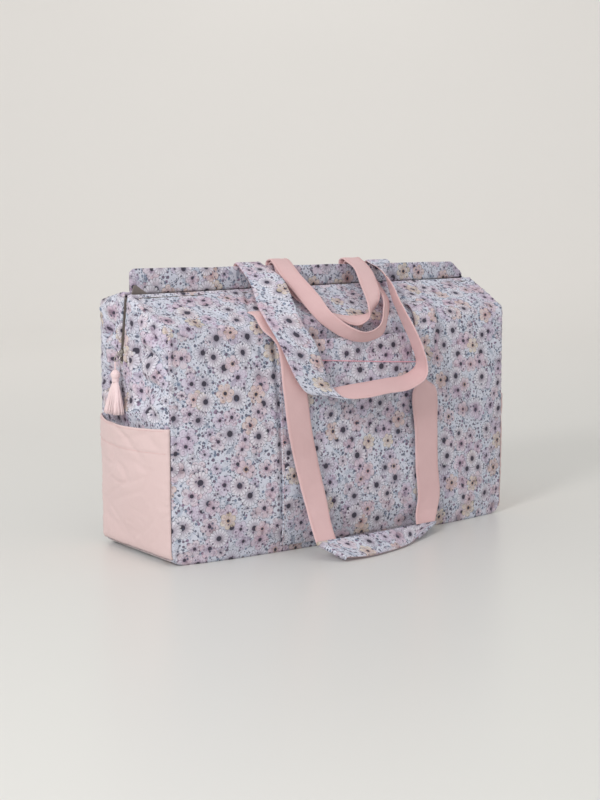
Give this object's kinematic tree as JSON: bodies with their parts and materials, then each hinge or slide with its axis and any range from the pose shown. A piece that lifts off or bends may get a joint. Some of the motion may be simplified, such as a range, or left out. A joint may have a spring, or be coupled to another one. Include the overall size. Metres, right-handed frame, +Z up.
{
  "type": "knitting bag",
  "caption": "Oblong quilted knitting bag with a zip top, end pockets, a front patch pocket, long two-faced handles, short carrying handles and a tassel on the zip.",
  "frame": {"origin": "centre of the base, on the surface that the bag stands on", "axes": "+X runs along the bag's width, from the zip's slider end to its other end; -Y is the front with the patch pocket; +Z is up"},
  "size_m": [0.6074, 0.3044, 0.3742],
  "materials": {
    "print_cotton": "printed cotton with a floral pattern",
    "pink_cotton": "plain woven cotton",
    "wadding": "soft fleece",
    "lining_cotton": "plain woven cotton",
    "zip_tape": "herringbone tape",
    "zip_teeth": "moulded coil",
    "zip_metal": "plated",
    "tassel_thread": "cotton thread"
  },
  "bodies": {
    "bag": {"front_panel": "print_cotton", "front_wadding": "wadding", "front_lining": "lining_cotton", "back_panel": "print_cotton", "back_wadding": "wadding", "back_lining": "lining_cotton", "base_panel": "print_cotton", "base_wadding": "wadding", "base_lining": "lining_cotton", "left_end_panel": "print_cotton", "left_end_wadding": "wadding", "left_end_lining": "lining_cotton", "right_end_panel": "print_cotton", "right_end_wadding": "wadding", "right_end_lining": "lining_cotton", "front_pocket": "print_cotton", "left_end_pocket": "pink_cotton", "right_end_pocket": "pink_cotton", "top_zip_tape_front": "zip_tape", "top_zip_teeth_front": "zip_teeth", "left_zip_tape_front": "zip_tape", "left_zip_teeth_front": "zip_teeth", "right_zip_tape_front": "zip_tape", "right_zip_teeth_front": "zip_teeth", "left_zip_tape_rear": "zip_tape", "left_zip_teeth_rear": "zip_teeth", "right_zip_tape_rear": "zip_tape", "right_zip_teeth_rear": "zip_teeth", "left_zip_stop": "zip_metal", "right_zip_stop": "zip_metal"},
    "top_flap": {"top_flap_panel": "print_cotton", "top_flap_wadding": "wadding", "top_flap_lining": "lining_cotton", "zip_placket": "print_cotton", "top_zip_tape_rear": "zip_tape", "top_zip_teeth_rear": "zip_teeth"},
    "back_long_handle": {"back_long_handle_print": "print_cotton", "back_long_handle_pink": "pink_cotton"},
    "front_long_handle": {"front_long_handle_print": "print_cotton", "front_long_handle_pink": "pink_cotton"},
    "outer_short_handle": {"outer_short_handle": "pink_cotton"},
    "inner_short_handle": {"inner_short_handle": "pink_cotton"},
    "zip_slider": {"zip_slider": "zip_metal"},
    "tassel": {"zip_pull_ring": "zip_metal", "tassel_cord": "tassel_thread", "tassel_knot": "tassel_thread", "tassel_skirt": "tassel_thread"}
  },
  "joints": [
    {"name": "mouth_open", "type": "hinge", "parent": "bag", "child": "top_flap", "pos_m": [0, 0.0863, 0.314], "axis": [-1, 0, 0], "range_deg": [0, 60]},
    {"name": "back_long_handle_swing", "type": "hinge", "parent": "top_flap", "child": "back_long_handle", "pos_m": [0, 0.0765, 0.33], "axis": [-1, 0, 0], "range_deg": [0, 100]},
    {"name": "front_long_handle_swing", "type": "hinge", "parent": "bag", "child": "front_long_handle", "pos_m": [0, -0.066, 0.3118], "axis": [-1, 0, 0], "range_deg": [0, 141]},
    {"name": "outer_short_handle_swing", "type": "hinge", "parent": "top_flap", "child": "outer_short_handle", "pos_m": [0, 0.0148, 0.343], "axis": [-1, 0, 0], "range_deg": [0, 95]},
    {"name": "inner_short_handle_swing", "type": "hinge", "parent": "top_flap", "child": "inner_short_handle", "pos_m": [0, 0.0148, 0.343], "axis": [-1, 0, 0], "range_deg": [0, 95]},
    {"name": "zip_slider_slide", "type": "slide", "parent": "bag", "child": "zip_slider", "axis": [0, -0.1652, 0.9863], "range_m": [0, 0.07]},
    {"name": "tassel_swing", "type": "hinge", "parent": "zip_slider", "child": "tassel", "pos_m": [-0.2906, 0.0162, 0.2612], "axis": [0, 1, 0], "range_deg": [0, 80]}
  ],
  "couplings": [
    {"joint": "front_long_handle_swing", "follows": "back_long_handle_swing", "ratio": 1.4},
    {"joint": "inner_short_handle_swing", "follows": "outer_short_handle_swing", "ratio": 1}
  ]
}
